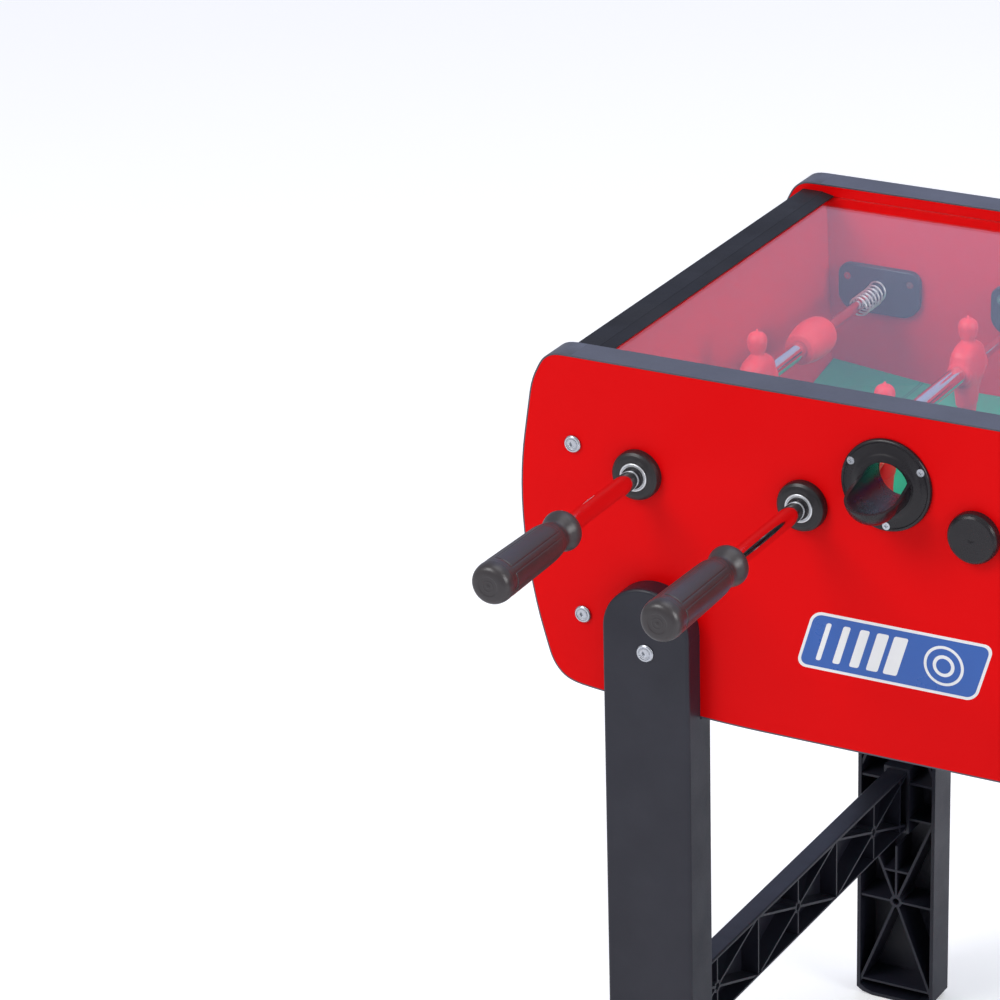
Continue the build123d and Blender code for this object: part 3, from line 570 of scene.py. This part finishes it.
def figure_mesh():
    """A smooth faceless player: the lofted parts fused into one skin, then bored for the rod."""
    parts = [superloft([(*(v * MM for v in row[:4]), row[4]) for row in rows])
             for rows in (TORSO, LEGS)]
    head = smooth_profile(in_metres(HEAD), step=0.0007)
    parts.append(superloft([(z, 0, r * HEAD_DEPTH, r, 2) for r, z in head]))
    boss_verts, boss_faces = superloft([(y, 0, r, r, 2) for r, y in in_metres(BOSS)])
    parts.append(([(x, z, -y) for x, y, z in boss_verts], boss_faces))
    verts, faces = [], []
    for part_verts, part_faces in parts:
        first = len(verts)
        verts += part_verts
        faces += [tuple(i + first for i in face) for face in part_faces]

    raw = new_obj("figure_raw", verts, faces, MATS["figure_red"])
    remesh = raw.modifiers.new("remesh", "REMESH")
    remesh.mode = "VOXEL"
    remesh.voxel_size = 0.00065
    soften = raw.modifiers.new("smooth", "SMOOTH")
    soften.factor = 0.6
    soften.iterations = 5
    fused = evaluated(raw)
    bpy.data.objects.remove(raw)

    solid = link_obj("figure_cut", fused)
    cutter_profile = [(0, -0.03), (FIGURE_BORE, -0.03), (FIGURE_BORE, 0.03), (0, 0.03)]
    cutter = lathe("cutter", cutter_profile, 96, MATS["figure_red"])
    bore = solid.modifiers.new("bore", "BOOLEAN")
    bore.operation = "DIFFERENCE"
    bore.object = cutter
    bore.solver = "EXACT"
    mesh = evaluated(solid)
    bpy.data.objects.remove(solid)
    bpy.data.objects.remove(cutter)
    for face in mesh.polygons:
        face.material_index = 0
        face.use_smooth = True
    return mesh


figure = figure_mesh()
# y of each player along its rod
FIGURE_Y = {1: [0.223], 2: [0.157, 0.330], 3: [0.157, 0.330], 4: [0.223]}
for rod, places in FIGURE_Y.items():
    for i, y in enumerate(places, start=1):
        obj = place_rod_piece(f"player_{rod}_{i}", figure, rod, "figure_" + team(rod), "figures", y)
        split = obj.modifiers.new("edge", "EDGE_SPLIT")
        split.split_angle = math.radians(55)


# ------------------------------------------------------------------ bumpers
def bumper_mesh(start, end, flip):
    """A bored, swelling sleeve from start to end (mm along the rod); flip turns it around."""
    length = end - start
    # (radius, y) in mm
    profile = in_metres([
        (8.1, 0.25), (8.6, 0.0), (12.8, 0.0), (13.8, 0.4), (14.2, 1.3), (14.3, 3.6), (14.6, 4.6),
        (15.5, 7.0), (16.9, length * 0.28), (17.8, length * 0.42), (18.2, length * 0.57),
        (18.1, length * 0.72), (17.4, length * 0.84), (16.0, length * 0.93),
        (14.0, length * 0.983), (12.2, length), (8.6, length), (8.1, length - 0.25),
    ])
    profile = smooth_profile(profile, step=0.0008)
    if flip:
        profile = [(r, length * MM - y) for r, y in reversed(profile)]
    profile = [(r, start * MM + y) for r, y in profile]
    return take_mesh(lathe("bumper_raw", profile + [profile[0]], 96, MATS["bumper_red"]))


# per rod: start, end (mm), flip
BUMPERS = {1: [(306.0, 354.0, False), (53.5, 101.5, True)], 2: [(98.8, 134.5, True)]}
BUMPERS[3] = BUMPERS[2]
BUMPERS[4] = BUMPERS[1]
for rod, rows in BUMPERS.items():
    for i, row in enumerate(rows, start=1):
        place_rod_piece(f"bumper_{rod}_{i}", bumper_mesh(*row), rod, "bumper_" + team(rod),
                        "bumpers")

# ------------------------------------------------------------------ springs
COIL_RADIUS = 0.0088
WIRE_RADIUS = 0.00082
COIL_LENGTH = 0.0435
TURNS = 6.5
SPRING_Y = 0.2182


def spring_sag(y):
    """How far the coil has dropped at y; it sinks over a short stretch near its start."""
    return 0.0020 * clamp01((y - 0.002) / 0.008)


def spring_mesh():
    """A loose coil hanging a little on its rod; local +Y runs into the table."""
    steps, sides = int(TURNS * 40), 12
    verts, faces, path = [], [], []
    for i in range(steps + 1):
        t = i / steps
        angle = 2 * PI * TURNS * t
        y = COIL_LENGTH * t
        path.append(Vector((COIL_RADIUS * math.cos(angle), y + WIRE_RADIUS,
                            COIL_RADIUS * math.sin(angle) - spring_sag(y))))
    for i, p in enumerate(path):
        along = path[min(steps, i + 1)] - path[max(0, i - 1)]
        along.normalize()
        outward = Vector((p.x, 0, p.z + spring_sag(p.y - WIRE_RADIUS))).normalized()
        u = (outward - along * outward.dot(along)).normalized()
        v = along.cross(u)
        for k in range(sides):
            angle = 2 * PI * k / sides
            verts.append(p + u * (WIRE_RADIUS * math.cos(angle))
                         + v * (WIRE_RADIUS * math.sin(angle)))
    for i in range(steps):
        a, b = i * sides, (i + 1) * sides
        for k in range(sides):
            j = (k + 1) % sides
            faces.append((a + k, a + j, b + j, b + k))
    faces.append(tuple(range(sides)))
    faces.append(tuple(reversed(range(steps * sides, (steps + 1) * sides))))
    obj = new_obj("spring_raw", verts, faces, MATS["spring_wire"])
    face_outward(obj)
    return take_mesh(obj)


# each spring sits at the side away from its rod's grip
spring = spring_mesh()
for i, rod in enumerate((3, 4, 2, 1), start=1):
    rear = rod < 3
    obj = link_obj(f"spring_{i}", spring.copy())
    obj.matrix_world = side_matrix(ROD_X[rod], SPRING_Y, rear)
    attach(obj, "table")
    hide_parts("springs_rear" if rear else "springs_front")

# ------------------------------------------------------------------ side panel decals
WHITE = vinyl("decal_white", (0.86, 0.86, 0.86))
BLUE = vinyl("decal_blue", (0.015, 0.10, 0.42))
DECAL_X = 0.006
DECAL_Y = 0.25505
DECAL_Z = ROD_Z - 0.118
DECAL_HALF_X = 0.080
DECAL_HALF_Z = 0.026
DECAL_BORDER = 0.0026
DECAL_SLANT = 0.30
# name, radius, thickness, material
DISCS = [
    ("disc", 0.0175, 0.00045, WHITE), ("disc_field", 0.0150, 0.0006, BLUE),
    ("disc_ring", 0.0095, 0.00075, WHITE), ("disc_core", 0.0065, 0.0009, BLUE),
]


def decal(name, side):
    """A slanted blue field with a white border, five bars and a ringed disc, in thin slabs.

    side is -1 for the front and 1 for the rear, where x is mirrored.
    """
    base_y = side * DECAL_Y

    def slab(part, outline, thickness, mat):
        verts = [(x, base_y + thickness * side, z) for x, z in outline]
        verts += [(x, base_y, z) for x, z in outline]
        n = len(outline)
        faces = [tuple(range(n)), tuple(reversed(range(n, 2 * n)))]
        faces += [(i, (i + 1) % n, n + (i + 1) % n, n + i) for i in range(n)]
        obj = new_obj(f"{name}_{part}", verts, faces, mat, smooth=False)
        face_outward(obj)
        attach(obj, "table")

    def slanted(center, half_x, half_z, radius, n=8):
        """A round-cornered outline leaning towards +X of the front decal as it rises."""
        points = []
        for sign_x, sign_z, start in ((1, -1, -90), (1, 1, 0), (-1, 1, 90), (-1, -1, 180)):
            for i in range(n + 1):
                a = math.radians(start + 90 * i / n)
                x = sign_x * (half_x - radius) + radius * math.cos(a)
                z = sign_z * (half_z - radius) + radius * math.sin(a)
                points.append((-side * (center + x + DECAL_SLANT * z), DECAL_Z + z))
        return points

    slab("base", slanted(DECAL_X, DECAL_HALF_X, DECAL_HALF_Z, radius=0.009), 0.00015, WHITE)
    slab("field", slanted(DECAL_X, DECAL_HALF_X - DECAL_BORDER, DECAL_HALF_Z - DECAL_BORDER,
                          radius=0.007), 0.0003, BLUE)
    for i in range(5):
        center = DECAL_X - DECAL_HALF_X * 0.78 + i * DECAL_HALF_X * 0.20
        bar = slanted(center, 0.0022 + 0.0010 * i, DECAL_HALF_Z - 0.0085, radius=0.0018)
        slab(f"bar_{i + 1}", bar, 0.00045, WHITE)
    disc_x = -side * (DECAL_X + DECAL_HALF_X * 0.55)
    for part, radius, thickness, mat in DISCS:
        angles = [2 * PI * i / 64 for i in range(64)]
        circle = [(disc_x + radius * math.cos(a), DECAL_Z + radius * math.sin(a)) for a in angles]
        slab(part, circle, thickness, mat)


decal("decal_front", side=-1)
decal("decal_rear", side=1)


# ------------------------------------------------------------------ floor
def floor_material():
    """Pale floor that glows slightly to the camera only."""
    k = Mat("floor_pale", (0.86, 0.86, 0.87), rough=0.6, spec=0.2)
    k.mottle(k.noise(scale=1.2), (0.88, 0.88, 0.885), low=0.3, high=0.8, amount=0.5)
    camera_ray = k.node("ShaderNodeLightPath").outputs["Is Camera Ray"]
    glow_strength = 0.34
    glow = k.node("ShaderNodeEmission", {
        "Color": (1, 1, 1, 1), "Strength": k.math("MULTIPLY", camera_ray, glow_strength),
    })
    k.surface(k.node("ShaderNodeAddShader", {0: k.bsdf.outputs["BSDF"], 1: glow.outputs[0]}))
    return k.done()


FLOOR_Z = -0.0005
floor_verts = [(x, y, FLOOR_Z) for x, y in ((-40, -40), (40, -40), (40, 40), (-40, 40))]
floor = new_obj("floor", floor_verts, [(0, 1, 2, 3)], floor_material(), smooth=False)

# ------------------------------------------------------------------ world
# The camera sees a plain pale backdrop; everything else is lit by a soft sky.
AWAY_UP = Vector((-0.456, 0.80, 0.389)).normalized()  # beyond the table and upwards
VIEW_RIGHT = (0.869, 0.495, 0.0)
world = bpy.data.worlds.new("studio")
scene.world = world
world.use_nodes = True
sky = Nodes(world.node_tree)
direction = sky.node("ShaderNodeTexCoord").outputs["Generated"]


def facing(axis, low, high):
    """Rises from 0 to 1 as the ray turns towards the axis."""
    dot = sky.node("ShaderNodeVectorMath", {0: direction, 1: axis}, operation="DOT_PRODUCT")
    return sky.ramp(dot.outputs["Value"], low, high)


beyond = sky.mix(facing(VIEW_RIGHT, low=-0.10, high=0.10),
                 rgba((0.44, 0.46, 0.55)), rgba((0.58, 0.66, 1.00)))
sky_color = sky.mix(facing(AWAY_UP, low=0.3, high=0.95), rgba((0.66, 0.67, 0.70)), beyond)
lighting = sky.node("ShaderNodeBackground", {"Color": sky_color, "Strength": 0.80})
backdrop = sky.node("ShaderNodeBackground", {"Color": rgba((0.93, 0.935, 0.94)), "Strength": 1.0})
background = sky.node("ShaderNodeMixShader", {
    0: sky.node("ShaderNodeLightPath").outputs["Is Camera Ray"],
    1: lighting.outputs[0],
    2: backdrop.outputs[0],
})
sky.node("ShaderNodeOutputWorld", {"Surface": background.outputs[0]})


# ------------------------------------------------------------------ lights
def area(name, location, size, power):
    """A disk light aimed at the table."""
    light = bpy.data.lights.new(name, "AREA")
    light.shape = "DISK"
    light.size = size
    light.energy = power
    obj = link_obj(name, light)
    obj.location = location
    aim = Vector((0, 0, 0.6)) - Vector(location)
    obj.rotation_euler = aim.to_track_quat("-Z", "Y").to_euler()


area("key", location=(-2.2, -3.4, 4.2), size=2.6, power=112)
area("side", location=(4.2, -0.6, 2.6), size=2.4, power=94)
area("top", location=(0.4, 0.6, 4.6), size=3.0, power=36)

# ------------------------------------------------------------------ camera
CAMERA_PLACE = Vector((1.3294, -3.2129, 2.1265))
turn = math.radians(29.68)    # about Z, away from looking along +Y
tilt = math.radians(22.87)    # downwards
roll = math.radians(-1.58)
camera_data = bpy.data.cameras.new("camera")
camera = link_obj("camera", camera_data)
forward = Vector((-math.sin(turn) * math.cos(tilt), math.cos(turn) * math.cos(tilt),
                  -math.sin(tilt)))
right = Vector((math.cos(turn), math.sin(turn), 0))
up = right.cross(forward)
rolled_right = right * math.cos(roll) + up * math.sin(roll)
rolled_up = -right * math.sin(roll) + up * math.cos(roll)
pose = Matrix((rolled_right, rolled_up, -forward)).transposed().to_4x4()
pose.translation = CAMERA_PLACE
camera.matrix_world = pose
camera_data.sensor_width = 36
camera_data.lens = 158.4
camera_data.clip_start = 0.1
camera_data.clip_end = 100
scene.camera = camera
scene.view_settings.view_transform = "Standard"
scene.view_settings.look = "None"
scene.view_settings.exposure = 0.0
